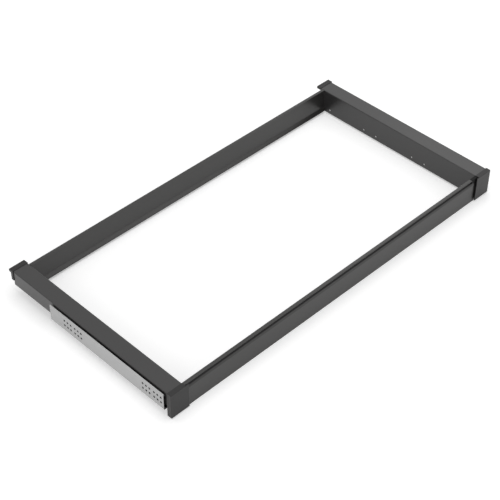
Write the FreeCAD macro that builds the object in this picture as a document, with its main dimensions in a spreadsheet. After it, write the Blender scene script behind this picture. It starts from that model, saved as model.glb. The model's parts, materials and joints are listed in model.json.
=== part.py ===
import FreeCAD, Part
import math
import os
import re

import Sketcher

# Pull-out wardrobe frame. X runs across the wardrobe, the frame pulls out along -Y, Z is up.
# The origin is at the middle of the underside. A place across the frame is given by its
# distance inward from the outer face of a side rail, a depth by its distance behind the
# front face of the end caps, and a height by its distance below the top of the rails.

SIZES = {
    # Frame
    "rail_span": 955.0,             # over the outer faces of the two side rails
    "frame_depth": 490.7,           # front face of the front caps to the lip of the back caps
    "bar_height": 62.7,             # height of the cross bars, whose top is the top of the frame
    # Side rails: an inverted U of bent sheet with a short outer wall
    "rail_width": 37.6,
    "rail_inner_height": 57.7,
    "rail_outer_height": 35.6,
    "rail_sheet": 1.2,
    "rail_bend": 2.0,               # outside radius of the two bends
    "fitting_hole_radius": 2.0,     # holes for fittings that hang in the frame
    "fitting_hole_rise": 9.4,       # above the lower edge of the inner wall
    "fitting_near_offset": 54.7,    # hole places, each side of the middle of the depth
    "fitting_mid_offset": 92.2,
    "fitting_end_inset": 44.05,     # the last holes before either end of the depth
    # Cross bars: a hollow section with a top lip, a grip groove and an inner ledge
    "bar_inset": 4.4,               # outer face of the front bar behind the caps' front face
    "back_bar_inset": 16.3,         # outer face of the back bar before the caps' back face
    "bar_thickness": 7.6,
    "bar_wall": 1.6,
    "lip_thickness": 2.0,
    "insert_length": 20.0,          # black insert in the right end of the front lip
    "groove_depth": 5.0,
    "groove_height": 6.0,           # straight part of the groove under the lip
    "groove_bend": 1.2,
    "cove_radius": 9.0,             # rounding from the groove out to the face
    "ledge_drop": 47.6,             # top of the ledge below the top of the bar
    "ledge_width": 13.0,
    "ledge_thickness": 2.0,
    "port_block": 7.0,              # height of the solid stretch round each screw port
    # Screws of the cross bars
    "upper_screw_drop": 20.5,
    "lower_screw_drop": 53.0,
    "screw_radius": 1.7,
    "screw_head_radius": 3.1,
    "screw_head_height": 2.0,
    "screw_length": 16.0,
    # End caps
    "cap_overhang": 1.5,            # how far a cap stands out beside the rail
    "cap_crown": 0.8,               # and above it
    "cap_depth": 11.5,
    "cap_height": 60.5,
    "cap_front": 4.1,               # thickness of the front plate
    "cap_flange_width": 7.2,        # thin flange past the side rail, over the end of the bar
    "cap_flange_thickness": 1.4,
    "cap_floor": 2.3,
    "cap_edge_radius": 0.6,
    "plug_wall": 2.5,
    "plug_reach": 9.9,              # plug of a front cap, from the back of its front plate
    "plug_width": 31.5,
    "plug_height": 31.5,
    "plug_fit": 0.3,                # clearance of the plugs in the rails
    "back_cap_depth": 12.7,         # lip of a back cap, behind the end of its side rail
    "back_lip_height": 5.0,         # full-depth lip along the top of a back cap
    "back_leg_depth": 6.6,          # depth of the leg below it
    "back_leg_width": 7.5,
    "back_leg_drop": 24.0,
    "back_plug_reach": 12.0,
    "back_plug_wall": 3.0,
    # Telescopic ball slides
    "slide_front": 16.5,
    "slide_back_inset": 24.2,       # back end of the slide before the caps' back face
    "slide_height": 35.0,
    "slide_thickness": 12.7,
    "slide_drop": 27.5,             # middle of the slide below the top of the rails
    "slide_sheet": 1.1,
    "slide_bend": 0.5,              # inside radius of the bends
    "travel_reserve": 20.0,         # how much less than its length the slide runs out
    "ball_radius": 1.5,
    "race_gap": 0.25,               # clearance of a ball in its race
    "outer_race_reach": 8.6,        # outer balls from the back of the cabinet rail
    "race_offset": 2.8,             # inner balls nearer to that face than the outer ones
    "lip_angle": 25.0,              # where the outer races stop, above and below the balls
    "inner_race_start_angle": 265.0,
    "inner_race_end_angle": 320.0,  # where the drawer rail's races start and stop
    "middle_front_gap": 3.5,        # middle rail behind the front of the cabinet rail
    "stop_depth": 5.0,
    "stop_width": 16.0,
    "stop_reach": 3.9,
    "stop_gap": 0.3,
    "tab_length": 17.5,             # end tab of the drawer rail
    "tab_width": 7.0,
    # Ball cages
    "cage_sheet": 0.5,
    "cage_gap": 0.3,
    "cage_length": 210.0,
    "cage_clearance": 2.0,          # from a cage's end to the end of the rail it runs in
    "cage_hole_gap": 0.25,
    "cage_outer_edge": 2.3,         # edge of the outer cage past its balls
    "cage_inner_edge": 0.6,
    "cage_web_reach": 0.65,         # web of the outer cage off the cabinet rail
    "ball_end": 8.0,                # first ball from the end of its cage
    # Mounting brackets: a J of bright sheet round the lower edge of the outer wall
    "plate_standoff": 4.5,          # outer face of the plate outside the rail
    "bracket_sheet": 1.5,
    "bracket_bend": 1.0,            # inside radius of the bends
    "plate_front": 17.3,
    "plate_length": 338.0,
    "plate_drop": 5.5,              # top edge below the top of the rails
    "plate_bottom_drop": 47.3,
    "plate_corner": 1.5,
    "mount_hole_radius": 2.5,
    "mount_row_drop": 18.4,         # upper row of holes
    "mount_row_pitch": 12.8,
    "mount_column_pitch": 9.6,
    "mount_front_inset": 17.3,      # first group's middle column from the plate's front end
    "mount_group_pitch": 32.0,      # from there to the second, and from the third on
    "mount_back_inset": 55.1,       # fourth group's middle column from the plate's back end
    # Rivets
    "rivet_radius": 2.0,
    "rivet_head_radius": 3.5,
    "rivet_head_height": 1.3,
    "rivet_gap": 0.1,
    "bracket_rivet_inset": 36.0,    # first and last rivet from the ends of the plate
    "drawer_rivet_inset": 28.0,     # and from the ends of the slide
    # One overrun for every cut
    "cut_overrun": 2.0,
}

BRACKET_RIVETS = 3
DRAWER_RIVETS = 3
BALLS_PER_ROW = 5
BALL_SIDES = 6                      # a ball has few flat sides, in rings of latitude
BALL_RINGS = 3
FASTENER_SIDES = 8

SIDES = ("left", "right")

doc = FreeCAD.newDocument("pull_out_frame")
sheet = doc.addObject("Spreadsheet::Sheet", "Sizes")
for row, (alias, number) in enumerate(SIZES.items(), 1):
    sheet.set(f"A{row}", alias)
    sheet.set(f"B{row}", str(number))
    sheet.setAlias(f"B{row}", alias)
doc.recompute()


# Names worked out from the sizes
RAIL_FACE = "(rail_span / 2)"
WALL_INSIDE = "(rail_width - rail_sheet)"
SLIDE_SEAT = "(rail_width - rail_sheet - slide_thickness)"
RAIL_BACK = "(frame_depth - back_cap_depth)"
BACK_BAR_FACE = "(frame_depth - back_bar_inset)"
SLIDE_LENGTH = "(frame_depth - slide_front - slide_back_inset)"
SLIDE_BACK = f"(slide_front + {SLIDE_LENGTH})"
QUARTER_TRAVEL = f"(({SLIDE_LENGTH} - travel_reserve) / 4)"
RACE_RADIUS = "(ball_radius + race_gap)"
RACE_BACK = f"({RACE_RADIUS} + slide_sheet)"
OUTER_BALL_RISE = f"(slide_height / 2 - {RACE_BACK})"
INNER_BALL_REACH = "(outer_race_reach - race_offset)"
INNER_BALL_RISE = f"({OUTER_BALL_RISE} - sqrt(({RACE_RADIUS} + {RACE_BACK})^2 - race_offset^2))"
MIDDLE_WEB = f"({INNER_BALL_REACH} - {RACE_BACK})"
BEND_OUTSIDE = "(slide_bend + slide_sheet)"
MIDDLE_FRONT = "(slide_front + middle_front_gap)"
MIDDLE_BACK = f"({SLIDE_BACK} - stop_depth - stop_gap)"
OUTER_CAGE_FRONT = f"(slide_front + {QUARTER_TRAVEL} + cage_clearance)"
INNER_CAGE_FRONT = f"({MIDDLE_FRONT} + {QUARTER_TRAVEL} + cage_clearance)"
OUTER_CAGE_WEB = "(slide_sheet + cage_web_reach)"
INNER_CAGE_WEB = f"({MIDDLE_WEB} + slide_sheet + cage_gap)"
PLATE_OUTSIDE = "(0 - plate_standoff)"
BRACKET_BEND_OUTSIDE = "(bracket_bend + bracket_sheet)"
COVE_RISE = "sqrt(cove_radius^2 - (cove_radius - groove_depth)^2)"
GROOVE_FOOT = "(lip_thickness + groove_height)"
FACE_TOP = f"({GROOVE_FOOT} + {COVE_RISE})"


def sized(text):
    """Turn a formula in the aliases of the sheet into one that the document understands."""
    return re.sub(r"\b([a-z]+(?:_[a-z]+)+)\b", r"Sizes.\1", text)


def value(text):
    """The number that a formula has now."""
    return float(sheet.evalExpression(sized(text)))


def bind(thing, name, text):
    thing.setExpression(name, sized(text))


def across(side, inward):
    """Global X of a place that lies inward from the outer face of a side rail."""
    if side == "left":
        return f"({inward}) - {RAIL_FACE}"
    return f"{RAIL_FACE} - ({inward})"


def slide_across(side, reach):
    """Global X of a place in the slide, measured inward from the back of the cabinet rail."""
    return across(side, f"{SLIDE_SEAT} + ({reach})")


def along(depth):
    """Global Y of a depth behind the front face of the caps."""
    return f"({depth}) - frame_depth / 2"


def height(drop):
    """Global Z of a place below the top of the rails."""
    return f"bar_height - ({drop})"


def slide_height(rise):
    """Global Z of a place above the middle of the slide."""
    return f"bar_height - slide_drop + ({rise})"


# Sketches

NO_LENGTH = 1e-6
START_POINT, END_POINT, CENTRE_POINT = range(1, 4)     # points of an edge in a sketch
PLANES = {"X": "YZ_Plane", "Y": "XZ_Plane", "Z": "XY_Plane"}


def new_body(name):
    body = doc.addObject("PartDesign::Body", name)
    body.Label = name
    body.AllowCompound = True
    return body


def new_sketch(body, axis, place):
    """A sketch square to an axis at a place on it. On Y the plane's own axis points to -Y."""
    sketch = body.newObject("Sketcher::SketchObject", f"{body.Name}_sketch")
    plane = [part for part in body.Origin.OriginFeatures if part.Role == PLANES[axis]][0]
    sketch.AttachmentSupport = [(plane, "")]
    sketch.MapMode = "FlatFace"
    sign = "-1 * " if axis == "Y" else ""
    bind(sketch, "AttachmentOffset.Base.z", f"{sign}({place})")
    return sketch


def corner(x, y, bend=None, about=None, radius=None):
    """A corner of an outline, sharp or rounded by a bend. With a centre, the edge that leaves
    it is an arc about that centre."""
    return {"x": x, "y": y, "bend": bend, "about": about, "radius": radius}


def step(start, finish):
    """Direction of a straight edge that runs along one axis, as two signs."""
    over = value(finish["x"]) - value(start["x"])
    up = value(finish["y"]) - value(start["y"])
    if abs(over) > abs(up):
        return math.copysign(1, over), 0
    return 0, math.copysign(1, up)


def moved(text, sign, distance):
    if sign == 0:
        return text
    return f"{text} {'+' if sign > 0 else '-'} ({distance})"


def open_bends(corners):
    """Replace each rounded corner by the two ends of its arc."""
    points = []
    for index, here in enumerate(corners):
        if here["bend"] is None:
            points.append(here)
            continue
        before = step(corners[index - 1], here)
        after = step(here, corners[(index + 1) % len(corners)])
        bend = here["bend"]
        first = (moved(here["x"], -before[0], bend), moved(here["y"], -before[1], bend))
        last = (moved(here["x"], after[0], bend), moved(here["y"], after[1], bend))
        centre = (moved(first[0], after[0], bend), moved(first[1], after[1], bend))
        points.append(corner(*first, about=centre, radius=bend))
        points.append(corner(*last))
    return points


def spot_of(point):
    return FreeCAD.Vector(value(point["x"]), value(point["y"]), 0)


def without_doubles(points):
    """Leave out a straight edge of no length, as between the two bends of a round nose."""
    kept = []
    for index, point in enumerate(points):
        gap = spot_of(point).distanceToPoint(spot_of(points[(index + 1) % len(points)]))
        if point["about"] is not None or gap > NO_LENGTH:
            kept.append(point)
    return kept


def draw(sketch, corners):
    """Draw a closed outline whose every corner is held by its two formulas."""
    points = without_doubles(open_bends(corners))
    spots = [spot_of(point) for point in points]
    first = sketch.GeometryCount
    starts = []
    for index, point in enumerate(points):
        here = spots[index]
        there = spots[(index + 1) % len(points)]
        if point["about"] is None:
            sketch.addGeometry(Part.LineSegment(here, there), False)
            starts.append(START_POINT)
            continue
        centre = FreeCAD.Vector(value(point["about"][0]), value(point["about"][1]), 0)
        turns_left = (there - here).cross(centre - here).z > 0
        begin, end = (here, there) if turns_left else (there, here)
        angles = [math.atan2(spot.y - centre.y, spot.x - centre.x) for spot in (begin, end)]
        if angles[1] < angles[0]:
            angles[1] += 2 * math.pi
        circle = Part.Circle(centre, FreeCAD.Vector(0, 0, 1), value(point["radius"]))
        sketch.addGeometry(Part.ArcOfCircle(circle, *angles), False)
        starts.append(START_POINT if turns_left else END_POINT)
    count = len(points)
    for index, point in enumerate(points):
        after = (index + 1) % count
        finish = END_POINT if starts[index] == START_POINT else START_POINT
        edge = first + index
        sketch.addConstraint(
            Sketcher.Constraint("Coincident", edge, finish, first + after, starts[after]))
        hold(sketch, "DistanceX", (edge, starts[index]), point["x"])
        hold(sketch, "DistanceY", (edge, starts[index]), point["y"])
        if point["about"] is not None:
            hold(sketch, "Radius", (edge,), point["radius"])


def draw_circle(sketch, x, y, radius):
    """Draw a round outline held by its centre and radius."""
    centre = FreeCAD.Vector(value(x), value(y), 0)
    circle = Part.Circle(centre, FreeCAD.Vector(0, 0, 1), value(radius))
    edge = sketch.addGeometry(circle, False)
    hold(sketch, "DistanceX", (edge, CENTRE_POINT), x)
    hold(sketch, "DistanceY", (edge, CENTRE_POINT), y)
    hold(sketch, "Radius", (edge,), radius)


def hold(sketch, kind, spot, text):
    """Add a dimension and tie it to its formula."""
    number = sketch.addConstraint(Sketcher.Constraint(kind, *spot, value(text)))
    bind(sketch, f"Constraints[{number}]", text)


def box_outline(low_x, low_y, high_x, high_y, bend=None):
    return [corner(low_x, low_y, bend), corner(high_x, low_y, bend),
            corner(high_x, high_y, bend), corner(low_x, high_y, bend)]


# Features

def add_pad(body, sketch, length):
    """Raise a sketch towards +X, +Y or +Z."""
    pad = body.newObject("PartDesign::Pad", f"{body.Name}_pad")
    pad.Profile = sketch
    pad.Reversed = sketch.AttachmentSupport[0][0].Role == PLANES["Y"]
    bind(pad, "Length", length)
    doc.recompute()
    return pad


def add_pocket(body, sketch, length):
    """Cut a sketch equally to both sides of its plane, and see that it took something away."""
    before = body.Shape.Volume
    pocket = body.newObject("PartDesign::Pocket", f"{body.Name}_pocket")
    pocket.Profile = sketch
    pocket.Midplane = True
    bind(pocket, "Length", length)
    doc.recompute()
    if body.Shape.Volume >= before:
        raise RuntimeError(f"{pocket.Name} cuts nothing")
    return pocket


def add_fillet(body, radius, chosen):
    """Round the edges of a body that a test picks."""
    tip = body.Tip
    names = [f"Edge{number}" for number, edge in enumerate(tip.Shape.Edges, 1) if chosen(edge)]
    fillet = body.newObject("PartDesign::Fillet", f"{body.Name}_fillet")
    fillet.Base = (tip, names)
    bind(fillet, "Radius", radius)
    doc.recompute()
    return fillet


def cut_round_holes(body, axis, place, centres, radius, length):
    """Cut round holes along an axis, half of the length to each side of the place."""
    sketch = new_sketch(body, axis, place)
    for x, y in centres:
        draw_circle(sketch, x, y, radius)
    return add_pocket(body, sketch, length)


def lower(first, second):
    """The smaller of two places, which says where a pad along the axis starts."""
    return first if value(first) < value(second) else second


def make_fasteners(name, centres, stretches):
    """Like fasteners along X, each a row of round stretches: radius, two ends and length."""
    fasteners = []
    for depth, level in centres:
        pieces = []
        for radius, first, second, length in stretches:
            piece = doc.addObject("Part::Prism", f"{name}_stretch")
            piece.Polygon = FASTENER_SIDES
            piece.Placement.Rotation = FreeCAD.Rotation(FreeCAD.Vector(0, 1, 0), 90)
            bind(piece, "Circumradius", radius)
            bind(piece, "Height", length)
            bind(piece, "Placement.Base.x", lower(first, second))
            bind(piece, "Placement.Base.y", depth)
            bind(piece, "Placement.Base.z", level)
            pieces.append(piece)
        fastener = doc.addObject("Part::MultiFuse", f"{name}_one")
        fastener.Shapes = pieces
        fasteners.append(fastener)
    group = doc.addObject("Part::Compound", name)
    group.Label = name
    group.Links = fasteners
    return group


def run_section(name, corners, front, length):
    """A body with a constant section in X and Z, which runs along the depth."""
    body = new_body(name)
    sketch = new_sketch(body, "Y", along(front))
    draw(sketch, corners)
    add_pad(body, sketch, length)
    return body


# Side rails

def fitting_holes():
    """Centres of the small holes along the foot of an inner wall."""
    drop = height("rail_inner_height - fitting_hole_rise")
    offsets = ("fitting_near_offset", "fitting_mid_offset",
               "frame_depth / 2 - fitting_end_inset")
    return [(sign.format(offset), drop) for offset in offsets for sign in ("0 - ({})", "{}")]


def bar_screw_centres():
    """Depth and height of the screws that hold the bars' ends on an inner wall."""
    depths = ("bar_inset + bar_thickness / 2", f"{BACK_BAR_FACE} - bar_thickness / 2")
    drops = ("upper_screw_drop", "lower_screw_drop")
    return [(along(depth), height(drop)) for depth in depths for drop in drops]


def rivet_row(front, length, inset, count):
    """An even row of rivets along the middle line of the slide, between two end ones."""
    pitch = f"({length} - 2 * {inset}) / {count - 1}"
    return [(along(f"{front} + {inset} + {number} * {pitch}"), height("slide_drop"))
            for number in range(count)]


def drawer_rivet_centres():
    return rivet_row("slide_front", SLIDE_LENGTH, "drawer_rivet_inset", DRAWER_RIVETS)


def bracket_rivet_centres():
    return rivet_row("plate_front", "plate_length", "bracket_rivet_inset", BRACKET_RIVETS)


def make_side_rail(side):
    def at(inward, drop, bend=None):
        return corner(across(side, inward), height(drop), bend)

    inside_bend = "rail_bend - rail_sheet"
    body = run_section(f"{side}_side_rail", [
        at("0", "rail_outer_height"),
        at("0", "0", "rail_bend"),
        at("rail_width", "0", "rail_bend"),
        at("rail_width", "rail_inner_height"),
        at(WALL_INSIDE, "rail_inner_height"),
        at(WALL_INSIDE, "rail_sheet", inside_bend),
        at("rail_sheet", "rail_sheet", inside_bend),
        at("rail_sheet", "rail_outer_height"),
    ], "cap_front", f"{RAIL_BACK} - cap_front")
    wall = across(side, "rail_width - rail_sheet / 2")
    depth = "2 * rail_sheet"
    cut_round_holes(body, "X", wall, fitting_holes(), "fitting_hole_radius", depth)
    cut_round_holes(body, "X", wall, bar_screw_centres(), "screw_radius + rivet_gap", depth)
    cut_round_holes(body, "X", wall, drawer_rivet_centres(), "rivet_radius + rivet_gap", depth)
    return body


# Cross bars

def bar_section(at):
    """Outer outline of a bar: lip, groove, cove, face, foot, inner face and ledge."""
    ledge_foot = "ledge_drop + ledge_thickness"
    ledge_edge = "bar_thickness + ledge_width"
    nose = "ledge_thickness / 2"
    lip_nose = "lip_thickness / 2"
    return [
        at("0", "0", lip_nose),
        at("0", "lip_thickness", lip_nose),
        at("groove_depth", "lip_thickness", "groove_bend"),
        at("groove_depth", GROOVE_FOOT, about=("cove_radius", FACE_TOP), radius="cove_radius"),
        at("0", FACE_TOP),
        at("0", "bar_height"),
        at("bar_thickness", "bar_height"),
        at("bar_thickness", ledge_foot),
        at(ledge_edge, ledge_foot, nose),
        at(ledge_edge, "ledge_drop", nose),
        at("bar_thickness", "ledge_drop"),
        at("bar_thickness", "0"),
    ]


def bar_chamber(at, top, foot):
    """One hollow of a bar between two heights."""
    inner = "bar_thickness - bar_wall"
    return [at("bar_wall", foot), at(inner, foot), at(inner, top), at("bar_wall", top)]


def make_cross_bar(end):
    """A bar of the front or back end, as long as the side rails are apart."""
    def depth(inward):
        if end == "front":
            return along(f"bar_inset + ({inward})")
        return along(f"{BACK_BAR_FACE} - ({inward})")

    def at(inward, drop, bend=None, about=None, radius=None):
        centre = about and (depth(about[0]), height(about[1]))
        return corner(depth(inward), height(drop), bend, centre, radius)

    body = new_body(f"{end}_cross_bar")
    sketch = new_sketch(body, "X", across("left", "rail_width"))
    draw(sketch, bar_section(at))
    half_block = "port_block / 2"
    draw(sketch, bar_chamber(at, f"upper_screw_drop + {half_block}",
                             f"lower_screw_drop - {half_block}"))
    draw(sketch, bar_chamber(at, f"lower_screw_drop + {half_block}", "bar_height - bar_wall"))
    for drop in ("upper_screw_drop", "lower_screw_drop"):
        draw_circle(sketch, depth("bar_thickness / 2"), height(drop), "screw_radius + rivet_gap")
    add_pad(body, sketch, "rail_span - 2 * rail_width")
    if end == "front":
        sketch = new_sketch(body, "Y", depth("bar_thickness / 2"))
        draw(sketch, box_outline(
            across("right", "rail_width + insert_length"), height(GROOVE_FOOT),
            across("right", "rail_width - cut_overrun"), height("0 - cut_overrun")))
        add_pocket(body, sketch, "2 * bar_thickness")
    return body


def make_bar_insert():
    """The black insert that closes the lip and the groove at the right end of the front bar."""
    def at(inward, drop, bend=None):
        return corner(along(f"bar_inset + {inward}"), height(drop), bend)

    body = new_body("front_bar_end_insert")
    sketch = new_sketch(body, "X", across("right", "rail_width + insert_length"))
    draw(sketch, [at("0", "0", "lip_thickness / 2"), at("0", GROOVE_FOOT),
                  at("bar_thickness", GROOVE_FOOT), at("bar_thickness", "0")])
    add_pad(body, sketch, "insert_length")
    return body


def make_bar_screws(side):
    """Four screws through an inner wall into the ports of the two bars."""
    seat = across(side, WALL_INSIDE)
    head = across(side, f"{WALL_INSIDE} - screw_head_height")
    end = across(side, f"{WALL_INSIDE} + screw_length")
    return make_fasteners(f"{side}_cross_bar_screws", bar_screw_centres(), [
        ("screw_head_radius", head, seat, "screw_head_height"),
        ("screw_radius", seat, end, "screw_length"),
    ])


# End caps

def make_front_cap(side):
    """A cap that closes a side rail and laps over the end of the bar beside it."""
    body = new_body(f"front_{side}_end_cap")

    def at(inward, depth):
        return corner(across(side, inward), along(depth))

    outside = "0 - cap_overhang"
    flange = "rail_width + cap_flange_width"
    sketch = new_sketch(body, "Z", height("cap_height"))
    draw(sketch, [at(outside, "0"), at(flange, "0"), at(flange, "cap_flange_thickness"),
                  at("rail_width", "cap_flange_thickness"), at("rail_width", "cap_depth"),
                  at(outside, "cap_depth")])
    add_pad(body, sketch, "cap_height + cap_crown")
    pocket_height = "(cap_height - cap_floor)"
    sketch = new_sketch(body, "Z", height(f"{pocket_height} / 2"))
    open_side = "rail_width + cut_overrun"
    open_back = "cap_depth + cut_overrun"
    draw(sketch, [at("0", "cap_front"), at(open_side, "cap_front"),
                  at(open_side, open_back), at("0", open_back)])
    add_pocket(body, sketch, pocket_height)
    front = value(along("0"))
    add_fillet(body, "cap_edge_radius", lambda edge: all(
        abs(vertex.Y - front) < value("cap_edge_radius") for vertex in edge.Vertexes))

    def tube(inset):
        low = f"rail_sheet + plug_fit + ({inset})"
        wide = f"rail_sheet + plug_fit + plug_width - ({inset})"
        tall = f"rail_sheet + plug_fit + plug_height - ({inset})"
        return box_outline(across(side, low), height(tall), across(side, wide), height(low))

    sketch = new_sketch(body, "Y", along("cap_front"))
    draw(sketch, tube("0"))
    draw(sketch, tube("plug_wall"))
    add_pad(body, sketch, "plug_reach")
    return body


def make_back_cap(side):
    """A stepped cap behind a side rail: a deep lip above, a shallow leg on the outer side."""
    body = new_body(f"back_{side}_end_cap")
    outside = across(side, "0 - cap_overhang")
    sketch = new_sketch(body, "Z", height("back_lip_height"))
    draw(sketch, box_outline(outside, along(RAIL_BACK), across(side, "rail_width"),
                             along("frame_depth")))
    add_pad(body, sketch, "back_lip_height + cap_crown")
    back = value(along("frame_depth"))
    add_fillet(body, "cap_edge_radius", lambda edge: all(
        abs(vertex.Y - back) < value("cap_edge_radius") for vertex in edge.Vertexes))
    sketch = new_sketch(body, "Z", height("back_leg_drop"))
    leg_side = across(side, "back_leg_width - cap_overhang")
    draw(sketch, box_outline(outside, along(RAIL_BACK), leg_side,
                             along(f"{RAIL_BACK} + back_leg_depth")))
    add_pad(body, sketch, "back_leg_drop - back_lip_height")

    def at(inward, drop):
        return corner(across(side, inward), height(drop))

    near = "rail_sheet + plug_fit"
    wall = f"{near} + back_plug_wall"
    far = f"{WALL_INSIDE} - plug_fit"
    sketch = new_sketch(body, "Y", along(f"{RAIL_BACK} - back_plug_reach"))
    draw(sketch, [at(near, near), at(far, near), at(far, wall), at(wall, wall),
                  at(wall, "back_leg_drop"), at(near, "back_leg_drop")])
    add_pad(body, sketch, "back_plug_reach")
    return body


# Mounting brackets

def make_bracket(side):
    """The outer plate, a web under the outer wall of the rail and an inner upright."""
    def at(inward, drop, bend=None):
        return corner(across(side, inward), height(drop), bend)

    plate_inside = "bracket_sheet - plate_standoff"
    upright = f"{SLIDE_SEAT} - bracket_sheet"
    floor = "plate_bottom_drop - bracket_sheet"
    slide_top = "slide_drop - slide_height / 2"
    body = run_section(f"{side}_mounting_bracket", [
        at(PLATE_OUTSIDE, "plate_drop"),
        at(PLATE_OUTSIDE, "plate_bottom_drop", BRACKET_BEND_OUTSIDE),
        at(SLIDE_SEAT, "plate_bottom_drop", BRACKET_BEND_OUTSIDE),
        at(SLIDE_SEAT, slide_top),
        at(upright, slide_top),
        at(upright, floor, "bracket_bend"),
        at(plate_inside, floor, "bracket_bend"),
        at(plate_inside, "plate_drop"),
    ], "plate_front", "plate_length")
    top = value(height("plate_drop"))
    add_fillet(body, "plate_corner", lambda edge:
               edge.Length < value("bracket_sheet") + NO_LENGTH
               and all(abs(vertex.Z - top) < value("plate_corner") for vertex in edge.Vertexes))
    holes = []
    plate_back = "plate_front + plate_length"
    for group in ("plate_front + mount_front_inset",
                  f"{plate_back} - mount_back_inset - mount_group_pitch"):
        for number in range(2):
            for column in (-1, 0, 1):
                for line in range(2):
                    depth = f"{group} + {number} * mount_group_pitch + {column} * mount_column_pitch"
                    holes.append((along(depth),
                                  height(f"mount_row_drop + {line} * mount_row_pitch")))
    plate = across(side, "bracket_sheet / 2 - plate_standoff")
    cut_round_holes(body, "X", plate, holes, "mount_hole_radius", "2 * bracket_sheet")
    upright_middle = across(side, f"{SLIDE_SEAT} - bracket_sheet / 2")
    cut_round_holes(body, "X", upright_middle, bracket_rivet_centres(),
                    "rivet_radius + rivet_gap", "2 * bracket_sheet")
    return body


# Telescopic ball slides. Each section is drawn from its middle line up and mirrored down.

def around(centre, radius, angle):
    """A place on a circle round a ball, as formulas for reach and rise."""
    return (f"{centre[0]} + ({radius}) * cos({angle})", f"{centre[1]} + ({radius}) * sin({angle})")


OUTER_BALL = ("outer_race_reach", OUTER_BALL_RISE)
INNER_BALL = (INNER_BALL_REACH, INNER_BALL_RISE)


def slide_outline(side, upper):
    """Close the upper half of a section with its mirror image below the middle line. A half
    lists its places in order, each with the arc that leaves it, if any."""
    def put(reach, rise, about, radius):
        centre = about and (slide_across(side, about[0]), slide_height(about[1]))
        return corner(slide_across(side, reach), slide_height(rise), None, centre, radius)

    places = [put(reach, rise, about, radius) for reach, rise, about, radius in upper]
    for index in range(len(upper) - 1, -1, -1):
        reach, rise, _, _ = upper[index]
        _, _, about, radius = upper[index - 1] if index else (None, None, None, None)
        centre = about and (about[0], f"0 - ({about[1]})")
        places.append(put(reach, f"0 - ({rise})", centre, radius))
    return places


def make_cabinet_rail(side):
    """The fixed outer member: a channel whose lips curl round the outer balls."""
    top = "slide_height / 2"
    inner_top = "slide_height / 2 - slide_sheet"
    lip_out = around(OUTER_BALL, RACE_BACK, "lip_angle")
    lip_in = around(OUTER_BALL, RACE_RADIUS, "lip_angle")
    bend_centre = (BEND_OUTSIDE, f"{top} - {BEND_OUTSIDE}")
    upper = [
        ("slide_sheet", bend_centre[1], bend_centre, "slide_bend"),
        (BEND_OUTSIDE, inner_top, None, None),
        ("outer_race_reach", inner_top, OUTER_BALL, RACE_RADIUS),
        (*lip_in, None, None),
        (*lip_out, OUTER_BALL, RACE_BACK),
        ("outer_race_reach", top, None, None),
        (BEND_OUTSIDE, top, bend_centre, BEND_OUTSIDE),
        ("0", bend_centre[1], None, None),
    ]
    body = run_section(f"{side}_cabinet_rail", slide_outline(side, upper), "slide_front", SLIDE_LENGTH)
    web_middle = slide_across(side, "slide_sheet / 2")
    cut_round_holes(body, "X", web_middle, bracket_rivet_centres(), "rivet_radius + rivet_gap",
                    "2 * slide_sheet")
    return body


def make_middle_rail(side):
    """The intermediate member. Its flanges bend over the inner balls and under the outer ones,
    so that one sheet holds a race on each face."""
    web_back = MIDDLE_WEB
    web_front = f"{MIDDLE_WEB} + slide_sheet"
    swing = f"atan2({OUTER_BALL_RISE} - {INNER_BALL_RISE}; race_offset)"
    upper = [
        (web_front, INNER_BALL_RISE, INNER_BALL, RACE_RADIUS),
        (*around(INNER_BALL, RACE_RADIUS, swing), OUTER_BALL, RACE_BACK),
        (*around(OUTER_BALL, RACE_BACK, "0 - lip_angle"), None, None),
        (*around(OUTER_BALL, RACE_RADIUS, "0 - lip_angle"), OUTER_BALL, RACE_RADIUS),
        (*around(INNER_BALL, RACE_BACK, swing), INNER_BALL, RACE_BACK),
        (web_back, INNER_BALL_RISE, None, None),
    ]
    return run_section(f"{side}_middle_rail", slide_outline(side, upper), MIDDLE_FRONT,
                       f"{MIDDLE_BACK} - {MIDDLE_FRONT}")


def make_drawer_rail(side):
    """The moving member: a channel whose flanges dip round the inner balls, with an end tab."""
    hump = around(INNER_BALL, f"{RACE_RADIUS} + {BEND_OUTSIDE}", "inner_race_end_angle")
    flange_top = f"{hump[1]} + {BEND_OUTSIDE}"
    flange_foot = f"{hump[1]} + slide_bend"
    web_front = "slide_thickness - slide_sheet"
    web_back = "slide_thickness"
    bend_centre = (f"slide_thickness - {BEND_OUTSIDE}", hump[1])
    upper = [
        (web_front, bend_centre[1], bend_centre, "slide_bend"),
        (bend_centre[0], flange_foot, None, None),
        (hump[0], flange_foot, hump, "slide_bend"),
        (*around(INNER_BALL, RACE_BACK, "inner_race_end_angle"), INNER_BALL, RACE_BACK),
        (*around(INNER_BALL, RACE_BACK, "inner_race_start_angle"), None, None),
        (*around(INNER_BALL, RACE_RADIUS, "inner_race_start_angle"), INNER_BALL, RACE_RADIUS),
        (*around(INNER_BALL, RACE_RADIUS, "inner_race_end_angle"), hump, BEND_OUTSIDE),
        (hump[0], flange_top, None, None),
        (bend_centre[0], flange_top, bend_centre, BEND_OUTSIDE),
        (web_back, bend_centre[1], None, None),
    ]
    body = run_section(f"{side}_drawer_rail", slide_outline(side, upper), "slide_front", SLIDE_LENGTH)
    sketch = new_sketch(body, "Y", along(SLIDE_BACK))
    draw(sketch, box_outline(slide_across(side, web_front), slide_height("0 - tab_width / 2"),
                             slide_across(side, web_back), slide_height("tab_width / 2")))
    add_pad(body, sketch, "tab_length")
    web_middle = slide_across(side, "slide_thickness - slide_sheet / 2")
    cut_round_holes(body, "X", web_middle, drawer_rivet_centres(), "rivet_radius + rivet_gap",
                    "2 * slide_sheet")
    return body


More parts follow.
